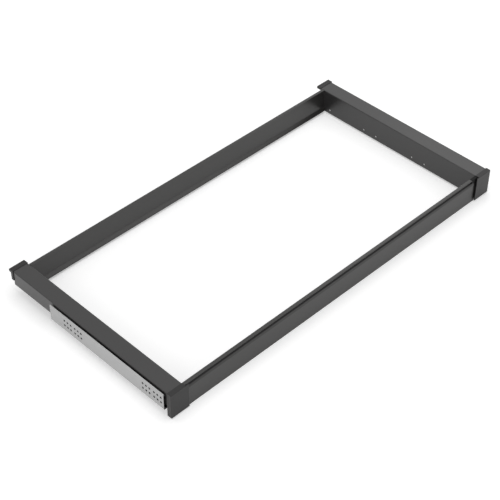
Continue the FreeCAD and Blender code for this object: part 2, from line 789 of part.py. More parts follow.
def ball_depths(cage_front):
    """Depths of the balls of one row."""
    gap = f"(cage_length - 2 * ball_end) / {BALLS_PER_ROW - 1}"
    return [f"{cage_front} + ball_end + {number} * {gap}" for number in range(BALLS_PER_ROW)]


def make_outer_cage(side):
    """A thin channel between the outer and middle members, with a window round each ball."""
    def at(reach, rise):
        return corner(slide_across(side, reach), slide_height(rise))

    top = f"{OUTER_BALL_RISE} + cage_sheet / 2"
    below = f"{OUTER_BALL_RISE} - cage_sheet / 2"
    edge = "outer_race_reach + cage_outer_edge"
    web_inner = f"{OUTER_CAGE_WEB} + cage_sheet"
    body = run_section(f"{side}_outer_ball_cage", [
        at(OUTER_CAGE_WEB, top), at(edge, top), at(edge, below), at(web_inner, below),
        at(web_inner, f"0 - ({below})"), at(edge, f"0 - ({below})"),
        at(edge, f"0 - ({top})"), at(OUTER_CAGE_WEB, f"0 - ({top})"),
    ], OUTER_CAGE_FRONT, "cage_length")
    half = "(ball_radius + cage_hole_gap)"
    low, high = (slide_across(side, f"outer_race_reach {sign} {half}") for sign in "-+")
    sketch = new_sketch(body, "Z", slide_height("0"))
    for depth in ball_depths(OUTER_CAGE_FRONT):
        draw(sketch, box_outline(low, along(f"{depth} - {half}"), high, along(f"{depth} + {half}")))
    add_pocket(body, sketch, "slide_height")
    return body


def make_inner_cage(side):
    """A flat strip beside the inner balls, with a notch round each ball along both edges."""
    edge = f"({INNER_BALL_RISE} + cage_inner_edge)"
    body = run_section(f"{side}_inner_ball_cage", box_outline(
        slide_across(side, INNER_CAGE_WEB), slide_height(f"0 - {edge}"),
        slide_across(side, f"{INNER_CAGE_WEB} + cage_sheet"), slide_height(edge)),
        INNER_CAGE_FRONT, "cage_length")
    sketch = new_sketch(body, "X", slide_across(side, f"{INNER_CAGE_WEB} + cage_sheet / 2"))
    notch_foot = f"({INNER_BALL_RISE} - ball_radius)"
    notch_end = f"({edge} + cut_overrun)"
    for depth in ball_depths(INNER_CAGE_FRONT):
        for sign in ("0 -", "0 +"):
            draw(sketch, box_outline(
                along(f"{depth} - ball_radius"), slide_height(f"{sign} {notch_foot}"),
                along(f"{depth} + ball_radius"), slide_height(f"{sign} {notch_end}")))
    add_pocket(body, sketch, "2 * cage_sheet")
    return body


def make_ball(centre):
    """A few-sided ball: flat faces between level outlines at even steps of latitude."""
    rings = []
    for number in range(BALL_RINGS):
        latitude = math.radians((2 * number + 1) * 180 / (2 * BALL_RINGS) - 90)
        level = FreeCAD.Vector(0, 0, value("ball_radius") * math.sin(latitude))
        width = value("ball_radius") * math.cos(latitude)
        turns = [2 * math.pi * side / BALL_SIDES for side in range(BALL_SIDES)]
        rings.append([centre + level + FreeCAD.Vector(width * math.cos(turn),
                                                      width * math.sin(turn), 0)
                      for turn in turns])
    outlines = [rings[0][::-1], rings[-1]]
    for low, high in zip(rings, rings[1:]):
        outlines += [[low[side - 1], low[side], high[side], high[side - 1]]
                     for side in range(BALL_SIDES)]
    faces = [Part.Face(Part.makePolygon(outline + outline[:1])) for outline in outlines]
    shell = Part.makeShell(faces)
    shell.sewShape()
    return Part.makeSolid(shell)


def make_balls(name, side, ball, cage_front):
    """Two rows of loose balls, above and below the middle line of a slide."""
    rise = value(ball[1])
    balls = [make_ball(FreeCAD.Vector(0, value(along(depth)), sign * rise))
             for depth in ball_depths(cage_front) for sign in (1, -1)]
    group = doc.addObject("Part::Feature", name)
    group.Label = name
    group.Shape = Part.makeCompound(balls)
    bind(group, "Placement.Base.x", slide_across(side, ball[0]))
    bind(group, "Placement.Base.z", slide_height("0"))
    return group


def make_rear_stop(side):
    """A plastic block in the back end of the cabinet rail, which stops the middle rail."""
    half = "stop_width / 2"
    return run_section(f"{side}_rear_stop", box_outline(
        slide_across(side, "slide_sheet"), slide_height(f"0 - {half}"),
        slide_across(side, "slide_sheet + stop_reach"), slide_height(half)),
        f"{SLIDE_BACK} - stop_depth", "stop_depth")


# Rivets

def make_bracket_rivets(side):
    """Rivets from the bracket's upright into the cabinet rail, flush on the slide's side."""
    back = f"{SLIDE_SEAT} - bracket_sheet"
    end = across(side, f"{SLIDE_SEAT} + slide_sheet")
    head = across(side, f"{back} - rivet_head_height")
    return make_fasteners(f"{side}_bracket_rivets", bracket_rivet_centres(), [
        ("rivet_head_radius", head, across(side, back), "rivet_head_height"),
        ("rivet_radius", across(side, back), end, "bracket_sheet + slide_sheet"),
    ])


def make_drawer_rivets(side):
    """Rivets from the drawer rail into the side rail, flush with the wall's visible face."""
    seat = f"{WALL_INSIDE} - slide_sheet"
    head = across(side, f"{seat} - rivet_head_height")
    end = across(side, "rail_width")
    return make_fasteners(f"{side}_drawer_rail_rivets", drawer_rivet_centres(), [
        ("rivet_head_radius", head, across(side, seat), "rivet_head_height"),
        ("rivet_radius", across(side, seat), end, "slide_sheet + rail_sheet"),
    ])


# The whole frame

def make_side(side):
    return [
        make_side_rail(side),
        make_front_cap(side),
        make_back_cap(side),
        make_bar_screws(side),
        make_bracket(side),
        make_cabinet_rail(side),
        make_middle_rail(side),
        make_drawer_rail(side),
        make_outer_cage(side),
        make_inner_cage(side),
        make_balls(f"{side}_outer_balls", side, OUTER_BALL, OUTER_CAGE_FRONT),
        make_balls(f"{side}_inner_balls", side, INNER_BALL, INNER_CAGE_FRONT),
        make_rear_stop(side),
        make_bracket_rivets(side),
        make_drawer_rivets(side),
    ]


nodes = [make_cross_bar("front"), make_bar_insert(), make_cross_bar("back")]
for side in SIDES:
    nodes += make_side(side)
doc.recompute()

for item in doc.Objects:
    if "Invalid" in item.State or "Error" in item.State:
        raise RuntimeError(f"{item.Name} failed: {item.State}")
for node in nodes:
    if node.Shape.isNull() or not node.Shape.isValid():
        raise RuntimeError(f"{node.Label} has no valid shape")

os.makedirs("parts", exist_ok=True)
for node in nodes:
    node.Shape.exportStep(f"parts/{node.Label}.step")
    print(f"{node.Label}: {len(node.Shape.Solids)} solids, {node.Shape.Volume:.1f} mm3")
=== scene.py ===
import json
import math

import bpy
import numpy as np
from bpy.props import (FloatProperty, FloatVectorProperty, IntProperty, PointerProperty)
from bpy.types import Operator, Panel, PropertyGroup
from mathutils import Matrix, Vector
from mathutils.geometry import tessellate_polygon

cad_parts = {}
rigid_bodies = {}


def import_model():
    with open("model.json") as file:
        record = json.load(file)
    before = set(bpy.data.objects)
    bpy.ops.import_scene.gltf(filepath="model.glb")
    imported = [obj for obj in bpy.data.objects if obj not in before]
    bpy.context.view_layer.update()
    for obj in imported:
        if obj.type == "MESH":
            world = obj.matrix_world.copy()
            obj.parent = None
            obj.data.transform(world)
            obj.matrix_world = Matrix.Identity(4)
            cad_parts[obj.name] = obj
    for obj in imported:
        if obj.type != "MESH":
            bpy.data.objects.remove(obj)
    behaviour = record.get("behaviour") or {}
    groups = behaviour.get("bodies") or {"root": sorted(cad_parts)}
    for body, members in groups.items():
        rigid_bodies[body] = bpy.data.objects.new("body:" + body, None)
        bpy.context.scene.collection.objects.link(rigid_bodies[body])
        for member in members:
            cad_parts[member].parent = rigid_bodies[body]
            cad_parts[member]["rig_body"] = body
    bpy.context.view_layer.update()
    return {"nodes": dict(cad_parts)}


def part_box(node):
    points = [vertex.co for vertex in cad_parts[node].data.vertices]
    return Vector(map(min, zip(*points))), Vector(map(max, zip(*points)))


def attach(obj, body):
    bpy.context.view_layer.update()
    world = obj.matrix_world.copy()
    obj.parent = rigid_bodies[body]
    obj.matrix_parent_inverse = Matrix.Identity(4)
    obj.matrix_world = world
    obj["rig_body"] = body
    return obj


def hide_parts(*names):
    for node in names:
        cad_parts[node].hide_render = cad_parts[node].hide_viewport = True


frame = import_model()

bl_info = {
    "name": "Pull-out wardrobe frame",
    "version": (1, 0, 0),
    "blender": (4, 5, 0),
    "location": "View3D > Sidebar > Wardrobe frame",
    "description": "Finishes, drawn bars, balls, screws and rivets of a pull-out wardrobe frame",
    "category": "Add Mesh",
}

MM = 0.001
SIDES = {"left": -1, "right": 1}    # and which way along X each of them faces out
ENDS = ("front", "back")
SHARP_ANGLE = math.radians(35)      # edges that turn by more than this stay sharp

# Values of the finishes
NOISE_LOW, NOISE_HIGH = 0.3, 0.7    # noise seldom leaves this part of 0 to 1
PATTERN_TURN = (0.62, 0.41, 0.27)   # out of line with the faces, or the noise's grid shows
CLOUD_GRAIN = 90                    # mm, slow change of tone over a coat
SPANGLE_GRAIN = 14                  # mm, patches of tone in a plating
STREAK_STRETCH = 0.02               # how much slower streaks change along a sheet than across
STREAK_DEPTH = 0.004                # mm, streaks of a plating
DENT_DEPTH = 0.01                   # mm, dents of tumbled fasteners
COAT_UNEVENNESS = 0.025             # up and down from a coat's roughness
PLATING_UNEVENNESS = 0.05           # up and down from a plating's roughness
WALL_FACING = 0.6                   # a cut wall's normal has less than this across the plate
CUT_FOOT, CUT_TOP = 8, 4            # mm at a bracket's foot and top whose walls get no painted shade

# Values of the shapes
COVE_POINTS = 13
PORT_POINTS = 24
LIP_ROUNDING = 0.49                 # of the lip's thickness, so that its two arcs don't meet
GROOVE_SHADE_SHARES = (0.3, 1.01)             # depths with painted shade, as shares of the groove's depth
LIP_UNDERSIDE = 0.9                 # where the painted shade starts, as a share of the lip
RECESS_SLOPE = 0.25                 # of an arm's width, over which its sides slope
RECESS_FALL = 1.25                  # how fast an arm's bottom falls from its end
THREAD_ROOT = 0.78                  # of the thread's diameter
THREAD_ROWS = 8                     # in one pitch
POINT_TAPER = 2                     # pitches in which a sharp point would grow to full width
BLUNT_POINT = 0.35                  # of the radius, left at a screw's blunt point
END_RING = 0.5                      # of a rivet's radius, a ring of points in its end face

# Values of the stage
SENSOR_WIDTH = 36.0                 # mm
GLOW_START, GLOW_END = 0.8, 3.0     # m from the middle, where the floor's glow grows to white
PAPER_ROUGHNESS = 0.9
WHITE = (1.0, 1.0, 1.0, 1.0)


# Colours and shader nodes

def linear(hex_colour):
    """Turn an sRGB hex colour into the linear colour that shaders work in."""
    shares = [int(hex_colour[start:start + 2], 16) / 255 for start in (1, 3, 5)]
    return [share / 12.92 if share <= 0.04045 else ((share + 0.055) / 1.055) ** 2.4
            for share in shares] + [1.0]


def feed(tree, node, sockets):
    """Give each named socket of a node a value, or the output that feeds it."""
    for name, fed in sockets.items():
        if isinstance(fed, bpy.types.NodeSocket):
            tree.links.new(fed, node.inputs[name])
        else:
            node.inputs[name].default_value = fed


def add_node(tree, kind, sockets=None, **settings):
    """Add a node with its settings and feed its sockets."""
    node = tree.nodes.new(kind)
    for name, setting in settings.items():
        setattr(node, name, setting)
    feed(tree, node, sockets or {})
    return node


def new_material(name):
    """An empty material with its output, its surface shader and the piece's own coordinates."""
    material = bpy.data.materials.new(name)
    material.use_nodes = True
    tree = material.node_tree
    tree.nodes.clear()
    shader = add_node(tree, "ShaderNodeBsdfPrincipled")
    add_node(tree, "ShaderNodeOutputMaterial", {"Surface": shader.outputs["BSDF"]})
    place = add_node(tree, "ShaderNodeTexCoord").outputs["Object"]
    return material, tree, shader, place


def per_metre(grain):
    """Scale of a noise whose grains are about that many millimetres wide."""
    return 1 / (grain * MM)


def tone_range(tree, pattern, low, high):
    """Spread a noise between two numbers."""
    return add_node(tree, "ShaderNodeMapRange", {
        "Value": pattern, "From Min": NOISE_LOW, "From Max": NOISE_HIGH,
        "To Min": low, "To Max": high}).outputs["Result"]


def two_tones(tree, pattern, colour, spread):
    """Mix a colour with itself a little darker and a little lighter, by a 0 to 1 pattern."""
    tones = [[channel * factor for channel in colour[:3]] + [1.0]
             for factor in (1 - spread, 1 + spread)]
    return add_node(tree, "ShaderNodeMix", {
        "Factor": pattern, "A": tones[0], "B": tones[1]}, data_type="RGBA").outputs["Result"]


# Finishes

def within(tree, value, low, high):
    """1 where a value lies between two numbers, else 0."""
    return add_node(tree, "ShaderNodeMath", {
        0: value, 1: (low + high) / 2, 2: (high - low) / 2}, operation="COMPARE").outputs["Value"]


def thinned(tree, share, tone, roughness):
    """Painted shade: where a share is 1, take the surface's colour down to a part of itself and
    set how rough it is there."""
    shader = tree.nodes["Principled BSDF"]
    colour = shader.inputs["Base Color"].links[0].from_socket
    rough = shader.inputs["Roughness"].links[0].from_socket
    dark = add_node(tree, "ShaderNodeMix", {
        "Factor": 1.0, "A": colour, "B": (tone, tone, tone, 1.0)},
        data_type="RGBA", blend_type="MULTIPLY").outputs["Result"]
    feed(tree, shader, {
        "Base Color": add_node(tree, "ShaderNodeMix", {
            "Factor": share, "A": colour, "B": dark}, data_type="RGBA").outputs["Result"],
        "Roughness": add_node(tree, "ShaderNodeMapRange", {
            "Value": share, "To Min": rough, "To Max": roughness}).outputs["Result"]})


def coated(name, colour, peel, depth, roughness, spread, specular):
    """A dull coat with an uneven skin: grains of the peel's width, raised by the depth, both
    in millimetres."""
    material, tree, shader, place = new_material(name)
    slant = add_node(tree, "ShaderNodeMapping", {
        "Vector": place, "Rotation": PATTERN_TURN}).outputs["Vector"]
    cloud = add_node(tree, "ShaderNodeTexNoise", {
        "Vector": slant, "Scale": per_metre(CLOUD_GRAIN), "Detail": 2.0}).outputs["Fac"]
    skin = add_node(tree, "ShaderNodeTexNoise", {
        "Vector": slant, "Scale": per_metre(peel), "Detail": 3.0,
        "Roughness": 0.55}).outputs["Fac"]
    bump = add_node(tree, "ShaderNodeBump", {
        "Height": skin, "Distance": depth * MM, "Strength": 1.0})
    feed(tree, shader, {
        "Base Color": two_tones(tree, cloud, colour, spread),
        "Roughness": tone_range(tree, skin, roughness - COAT_UNEVENNESS,
                                roughness + COAT_UNEVENNESS),
        "Normal": bump.outputs["Normal"],
        "Specular IOR Level": specular})
    return material


def powder_coated_steel(settings):
    # Polyester powder baked on bent steel sheet: a dull skin with a faint orange peel, drawn
    # as grains of 3 mm, about twice the real ones, so that they show.
    return coated("powder_coated_steel", settings.rail_colour, peel=3.0, depth=0.004,
                  roughness=0.30, spread=0.03, specular=0.56)


def powder_coated_aluminium(settings):
    # The same powder on a drawn aluminium section: the same dull skin, with a slightly wider peel.
    # The grip groove under the lip gets painted shade: its colour is taken down to 0.3 of itself
    # and made rougher.
    material = coated("powder_coated_aluminium", settings.bar_colour, peel=3.5, depth=0.004,
                      roughness=0.30, spread=0.03, specular=0.48)
    tree = material.node_tree
    groove = add_node(tree, "ShaderNodeAttribute", attribute_name="groove")
    # Painted shade in the grip groove under the lip.
    thinned(tree, groove.outputs["Fac"], tone=0.3, roughness=0.75)
    return material


def moulded_abs(settings):
    # ABS from a spark-eroded mould: fine even grains of about 0.8 mm, duller than the powder.
    return coated("moulded_abs", settings.cap_colour, peel=0.8, depth=0.006, roughness=0.40,
                  spread=0.02, specular=0.31)


def painted_shade_insert(settings):
    # A near-black matt plastic that sends hardly any light back. It is painted shade: a black
    # piece where the lip's end beside the front right cap lies in shade.
    return coated("painted_shade_insert", settings.insert_colour, peel=0.8, depth=0.010,
                  roughness=0.6, spread=0.02, specular=0.15)


def moulded_acetal(settings):
    # Acetal, moulded smooth: slightly glossier than the caps.
    return coated("moulded_acetal", settings.stop_colour, peel=1.5, depth=0.004,
                  roughness=0.38, spread=0.02, specular=0.45)


def plated(name, colour, roughness, streak, spread):
    """Plated metal with streaks of that width in millimetres along its length, the way the
    sheet was rolled."""
    material, tree, shader, place = new_material(name)
    run = add_node(tree, "ShaderNodeMapping", {
        "Vector": place, "Scale": (1.0, STREAK_STRETCH, 1.0)}).outputs["Vector"]
    streaks = add_node(tree, "ShaderNodeTexNoise", {
        "Vector": run, "Scale": per_metre(streak), "Detail": 4.0,
        "Roughness": 0.6}).outputs["Fac"]
    spangle = add_node(tree, "ShaderNodeTexNoise", {
        "Vector": place, "Scale": per_metre(SPANGLE_GRAIN), "Detail": 3.0}).outputs["Fac"]
    bump = add_node(tree, "ShaderNodeBump", {
        "Height": streaks, "Distance": STREAK_DEPTH * MM, "Strength": 1.0})
    feed(tree, shader, {
        "Base Color": two_tones(tree, spangle, colour, spread),
        "Roughness": tone_range(tree, streaks, roughness - PLATING_UNEVENNESS,
                                roughness + PLATING_UNEVENNESS),
        "Normal": bump.outputs["Normal"],
        "Metallic": 1.0})
    return material


def zinc_plated_sheet(settings):
    # Cold-rolled steel sheet, zinc-plated: bright, faintly streaked and softly blurred.
    # The walls of its holes and edges get painted shade: their colour is taken down to 0.06 of
    # itself and made rougher. They are found by their normals, which lie in the plane of the
    # plate.
    material = plated("zinc_plated_sheet", settings.zinc_colour, roughness=0.42, streak=0.9,
                      spread=0.03)
    tree = material.node_tree
    coordinates = tree.nodes["Texture Coordinate"]
    facing = add_node(tree, "ShaderNodeSeparateXYZ", {"Vector": coordinates.outputs["Normal"]})
    place = add_node(tree, "ShaderNodeSeparateXYZ", {"Vector": coordinates.outputs["Object"]})
    low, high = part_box("left_mounting_bracket")
    cut = add_node(tree, "ShaderNodeMath", {
        0: within(tree, facing.outputs["X"], -WALL_FACING, WALL_FACING),
        1: within(tree, place.outputs["Z"], low.z + CUT_FOOT * MM, high.z - CUT_TOP * MM)},
        operation="MULTIPLY")
    # Painted shade on the walls of the holes and edges.
    thinned(tree, cut.outputs["Value"], tone=0.06, roughness=0.7)
    return material


def zinc_plated_slide_steel(settings):
    # Roll-formed slide members, zinc-plated: like the sheet, but glossier all over.
    return plated("zinc_plated_slide_steel", settings.slide_colour, roughness=0.32,
                  streak=0.6, spread=0.04)


def plain_rolled_cage_steel(settings):
    # Stamped strip, darker and a little duller than the slide members.
    return plated("plain_rolled_cage_steel", settings.cage_colour, roughness=0.36,
                  streak=0.4, spread=0.05)


def bearing_steel(settings):
    # Ground and lapped chrome steel: close to a mirror, with a film of grease.
    material, tree, shader, place = new_material("bearing_steel")
    film = add_node(tree, "ShaderNodeTexNoise", {
        "Vector": place, "Scale": per_metre(1.5), "Detail": 2.0}).outputs["Fac"]
    feed(tree, shader, {
        "Base Color": two_tones(tree, film, settings.ball_colour, spread=0.03),
        "Roughness": tone_range(tree, film, 0.08, 0.18),
        "Metallic": 1.0})
    return material


def zinc_plated_fastener(settings):
    # Barrel-plated steel: bright with tiny dents from the tumbling.
    material, tree, shader, place = new_material("zinc_plated_fastener")
    dents = add_node(tree, "ShaderNodeTexNoise", {
        "Vector": place, "Scale": per_metre(0.7), "Detail": 2.0}).outputs["Fac"]
    bump = add_node(tree, "ShaderNodeBump", {
        "Height": dents, "Distance": DENT_DEPTH * MM, "Strength": 1.0})
    feed(tree, shader, {
        "Base Color": two_tones(tree, dents, settings.zinc_colour, spread=0.04),
        "Roughness": tone_range(tree, dents, 0.26, 0.36),
        "Normal": bump.outputs["Normal"],
        "Metallic": 1.0})
    return material


def finish(maker):
    """The material of that maker, made once."""
    made = bpy.data.materials.get(maker.__name__)
    return made or maker(bpy.context.scene.wardrobe_finishes)


def dress(names, maker):
    """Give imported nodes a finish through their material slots."""
    for name in names:
        node = frame["nodes"][name]
        if not node.material_slots:
            node.data.materials.append(None)
        for slot in node.material_slots:
            slot.material = finish(maker)


# Shapes

def full_turn(count):
    """Angles round an axis: each point's number times a full turn over their count."""
    return np.arange(count) * (2 * np.pi / count)


def turned(radius, rise, foot, top):
    """A closed turned surface. Rows run from the foot up and columns round the axis: a point
    lies at its radius and angle from the axis and at its rise along it. A single point on the
    axis closes each end."""
    rows, turns = radius.shape
    turn = full_turn(turns)
    rim = np.stack([radius * np.cos(turn), radius * np.sin(turn),
                    np.broadcast_to(rise, radius.shape)], axis=-1).reshape(-1, 3)
    points = np.vstack([rim, [[0, 0, foot], [0, 0, top]]])
    here = np.arange(rows * turns).reshape(rows, turns)
    beside = np.roll(here, -1, axis=1)
    walls = np.stack([here[:-1], beside[:-1], beside[1:], here[1:]], axis=-1).reshape(-1, 4)
    low = np.full(turns, rows * turns)
    ends = np.vstack([np.stack([low, beside[0], here[0]], axis=-1),
                      np.stack([low + 1, here[-1], beside[-1]], axis=-1)])
    return points, walls, ends


def along_x(shape, sign):
    """Turn a shape so that its rise runs along +X or -X, without turning it inside out."""
    points, walls, ends = shape
    turned_points = np.stack([sign * points[:, 2], points[:, 0], sign * points[:, 1]], axis=-1)
    return turned_points, walls, ends


def middles(values, gap):
    """Split sorted values wherever neighbours are further apart than the gap, and take the
    middle of each run."""
    ordered = np.sort(values)
    runs = np.split(ordered, np.flatnonzero(np.diff(ordered) > gap) + 1)
    return np.array([(run[0] + run[-1]) / 2 for run in runs])


def row_places(name, x, gap):
    """Places of the like solids of a node: every depth at every height, at one X."""
    mesh = frame["nodes"][name].data
    spots = np.empty(len(mesh.vertices) * 3, np.float32)
    mesh.vertices.foreach_get("co", spots)
    spots = spots.reshape(-1, 3)
    depths, heights = (middles(spots[:, axis], gap) for axis in (1, 2))
    depths, heights = (grid.ravel() for grid in np.meshgrid(depths, heights))
    return np.stack([np.full(depths.shape, x), depths, heights], axis=-1)


def head_seat(node, sign, head):
    """X of the faces that heads sit on: the outer side of their node less a head's height."""
    low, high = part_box(node)
    return (low.x if sign < 0 else high.x) - sign * head


def add_piece(name, node, shape, places, slot, maker, **attributes):
    """Put a copy of a shape at each place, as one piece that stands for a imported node, and
    give its points any attributes."""
    points, walls, ends = shape
    shift = np.arange(len(places)).reshape(-1, 1, 1) * len(points)
    spread = (places[:, None, :] + points).reshape(-1, 3)
    faces = ((walls + shift).reshape(-1, 4).tolist() + (ends + shift).reshape(-1, 3).tolist())
    mesh = bpy.data.meshes.new(name)
    mesh.from_pydata(spread.tolist(), [], faces)
    mesh.shade_smooth()
    mesh.set_sharp_from_angle(angle=SHARP_ANGLE)
    mesh.materials.append(finish(maker))
    for label, values in attributes.items():
        mesh.attributes.new(label, "FLOAT", "POINT").data.foreach_set(
            "value", values.astype(np.float32))
    piece = bpy.data.objects.new(name, mesh)
    bpy.context.scene.collection.objects.link(piece)
    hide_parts(node)
    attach(piece, frame["nodes"][node]["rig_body"])


def rounded(corners, radii, steps=6):
    """Outline in which an arc takes the place of each corner that has a radius. Its centre lies
    on the line that halves the corner, the radius over the sine of the half angle away, and its
    points swing from the one side's touching point to the other's."""
    corners, radii = np.array(corners, float), np.array(radii, float)
    sides = np.stack([np.roll(corners, 1, axis=0) - corners,
                      np.roll(corners, -1, axis=0) - corners])
    sides /= np.linalg.norm(sides, axis=2, keepdims=True)
    half = np.arccos(np.clip((sides[0] * sides[1]).sum(axis=1), -0.9999, 0.9999)) / 2
    halving = sides.sum(axis=0)
    halving /= np.maximum(np.linalg.norm(halving, axis=1, keepdims=True), 1e-9)
    centre = corners + halving * (radii / np.sin(half))[:, None]
    arms = corners + sides * (radii / np.tan(half))[:, None] - centre
    swing = (np.pi - 2 * half)[:, None]
    share = np.linspace(0, 1, steps)
    near, far = (np.sin(part * swing) / np.sin(swing) for part in (1 - share, share))
    points = (centre[:, None] + near[:, :, None] * arms[0][:, None]
              + far[:, :, None] * arms[1][:, None])
    return points[(radii[:, None] > 0) | (np.arange(steps) == 0)]


def bar_rings(settings, height, lip):
    """Section of a cross bar as depths behind its outer face and drops below its top: the
    outline, two chambers and two screw ports. The cove is part of a circle that runs from the
    groove out to the face. Without its lip, the bar starts at the foot of the groove. The rib
    slopes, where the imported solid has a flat, wider ledge: which of them is real isn't known."""
    thick, wall = settings.thickness, settings.wall
    foot = settings.lip + settings.groove_height
    rise = math.sqrt(settings.cove ** 2 - (settings.cove - settings.groove_depth) ** 2)
    lean = np.linspace(math.asin(rise / settings.cove), 0, COVE_POINTS)
    cove = np.stack([settings.cove * (1 - np.cos(lean)),
                     foot + rise - settings.cove * np.sin(lean)], axis=-1)
    rib, rib_foot = thick + settings.rib_depth, settings.rib_drop + settings.rib_height
    above = [(0, 0), (0, settings.lip), (settings.groove_depth, settings.lip)] if lip else []
    lip_bend = LIP_ROUNDING * settings.lip
    bends = [lip_bend, lip_bend, settings.groove_bend] if lip else []
    below = [(0, height), (thick, height), (thick, rib_foot), (rib, rib_foot),
             (thick, settings.rib_drop), (thick, 0 if lip else foot)]
    outline = rounded(above + cove.tolist() + below,
                      bends + [0] * len(cove) + [0, 0, 0, settings.rib_bend, 0, 0])
    half = settings.port_block / 2
    upper, lower = settings.upper_port_drop, settings.lower_port_drop
    spans = ((upper + half, lower - half), (lower + half, height - wall))
    chambers = [np.array([(wall, top), (wall, low), (thick - wall, low), (thick - wall, top)])
                for top, low in spans]
    turn = full_turn(PORT_POINTS)
    ports = [np.stack([thick / 2 + settings.port / 2 * np.cos(turn),
                       drop + settings.port / 2 * np.sin(turn)], axis=-1)
             for drop in (upper, lower)]
    return [outline, *chambers, *ports]


def drawn(rings, start, end):
    """A drawn bar: the rings of a section, as Y and Z, carried along X from start to end. The
    outline runs anticlockwise seen from +X and the hollows clockwise, so every wall faces out."""
    facing = []
    for place, ring in enumerate(rings):
        after = np.roll(ring, -1, axis=0)
        area = (ring[:, 0] * after[:, 1] - after[:, 0] * ring[:, 1]).sum()
        facing.append(ring if (area > 0) == (place == 0) else ring[::-1])
    flat = np.vstack(facing)
    count = len(flat)
    first = np.cumsum([0] + [len(ring) for ring in facing[:-1]])
    here = np.arange(count)
    beside = np.concatenate([begin + np.roll(np.arange(len(ring)), -1)
                             for begin, ring in zip(first, facing)])
    points = np.vstack([np.column_stack([np.full(count, x), flat]) for x in (start, end)])
    walls = np.stack([here, beside, beside + count, here + count], axis=-1)
    cut = np.array(tessellate_polygon([[(y, z, 0.0) for y, z in ring] for ring in facing]))
    one, two, three = (flat[cut[:, column]] for column in range(3))
    turned_round = ((two - one)[:, 0] * (three - one)[:, 1]
                    - (two - one)[:, 1] * (three - one)[:, 0]) < 0
    cut[turned_round] = cut[turned_round][:, ::-1]
    return points, walls, np.vstack([cut[:, ::-1], cut + count])


def bar_shape(settings, end):
    """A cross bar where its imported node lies. The right end of the front bar has no lip over
    the length of the insert."""
    low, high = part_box(f"{end}_cross_bar")
    face, inward = (low.y, 1) if end == "front" else (high.y, -1)
    stretches = [(low.x, high.x, True)]
    if end == "front":
        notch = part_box("front_bar_end_insert")[0].x
        stretches = [(low.x, notch, True), (notch, high.x, False)]
    points, walls, ends, count = [], [], [], 0
    for start, stop, lip in stretches:
        rings = [np.stack([face + inward * ring[:, 0], high.z - ring[:, 1]], axis=-1)
                 for ring in bar_rings(settings, high.z - low.z, lip)]
        shape = drawn(rings, start, stop)
        points.append(shape[0])
        walls.append(shape[1] + count)
        ends.append(shape[2] + count)
        count += len(shape[0])
    return np.vstack(points), np.vstack(walls), np.vstack(ends)


def in_groove(settings, end, points):
    """True for the points of a bar in its grip groove, which get painted shade: their depth behind
    the outer face is between two shares of the groove's, and their drop below the top between the
    lip's underside and the foot of the cove."""
    low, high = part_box(f"{end}_cross_bar")
    deep = np.abs(points[:, 1] - (low.y if end == "front" else high.y))
    drop = high.z - points[:, 2]
    first, last = (share * settings.groove_depth for share in GROOVE_SHADE_SHARES)
    return ((deep > first) & (deep < last)
            & (drop > LIP_UNDERSIDE * settings.lip) & (drop < settings.lip + settings.cove))


def ball_shape(radius, rows, turns):
    """A ball: at each latitude, the radius times its cosine out and times its sine up."""
    latitude = (np.arange(1, rows) / rows - 0.5) * np.pi
    out = np.repeat((radius * np.cos(latitude))[:, None], turns, axis=1)
    return turned(out, (radius * np.sin(latitude))[:, None], -radius, radius)


def pan_head(settings):
    """Out and up for the rows of a pan head: its height falls from the middle as the fourth
    root of one less the fourth power of the share of its radius. A cross is sunk in its top:
    deepest at the middle, less towards the ends of its arms and towards their sides."""
    wide, tall = settings.head_diameter / 2, settings.head_height
    # The rows lie close together where the head turns down, and evenly over its top.
    edge = np.sqrt(np.cos(np.radians(np.linspace(0, 60, 9))))
    top = np.linspace(0.68, 0.03, 22)
    shares = np.concatenate([edge, top])
    turn = full_turn(settings.turns)
    out = np.repeat((wide * shares)[:, None], settings.turns, axis=1)
    up = np.repeat((tall * (1 - shares ** 4) ** 0.25)[:, None], settings.turns, axis=1)
    over, beside = np.abs(out * np.cos(turn)), np.abs(out * np.sin(turn))
    arm, across = np.maximum(over, beside), np.minimum(over, beside)
    slope = RECESS_SLOPE * settings.recess_width
    side = np.clip((settings.recess_width / 2 - across) / slope, 0, 1)
    reach = np.clip(RECESS_FALL * (1 - arm / (settings.recess_span / 2)), 0, 1)
    return out, up - settings.recess_depth * side * reach


def screw_shape(settings):
    """A self-forming screw. The thread stands out of the root by a triangle wave of the height
    in pitches less the share of a turn. Towards the point, all of it is times a share that
    starts blunt and grows with the height over two pitches, up to 1."""
    turns, pitch = settings.turns, settings.thread_pitch
    length = settings.screw_length
    root, crest = THREAD_ROOT * settings.thread_diameter / 2, settings.thread_diameter / 2
    rise = np.linspace(-length, 0, int(THREAD_ROWS * length / pitch))[:, None]
    turn = np.arange(turns)[None, :] / turns
    wave = np.abs(2 * ((rise / pitch - turn) % 1) - 1)
    taper = np.clip((rise + length) / (POINT_TAPER * pitch) + BLUNT_POINT, 0, 1)
    body = (root + (crest - root) * wave) * taper
    out, up = pan_head(settings)
    radius = np.vstack([body, out])
    height = np.vstack([np.repeat(rise, turns, axis=1), up])
    return turned(radius, height, -length, up[-1].mean())


def rivet_shape(settings, grip):
    """A set rivet: a shank of the grip's length, which swells until it fills its hole and ends
    flush, and a head that is a shallow part of an ellipse."""
    shank, head = settings.rivet_hole / 2, settings.rivet_head_diameter / 2
    lean = np.radians(np.linspace(0, 84, 12))
    out = np.concatenate([[END_RING * shank, shank, shank], head * np.cos(lean)])
    up = np.concatenate([[-grip, -grip, 0], settings.rivet_head_height * np.sin(lean)])
    radius = np.repeat(out[:, None], settings.turns, axis=1)
    return turned(radius, up[:, None], -grip, settings.rivet_head_height)


# Settings

def length_of(name, description, size):
    """A length for the sidebar, given in millimetres."""
    return FloatProperty(name=name, description=description, default=size * MM, min=0.0,
                         unit="LENGTH", subtype="DISTANCE")


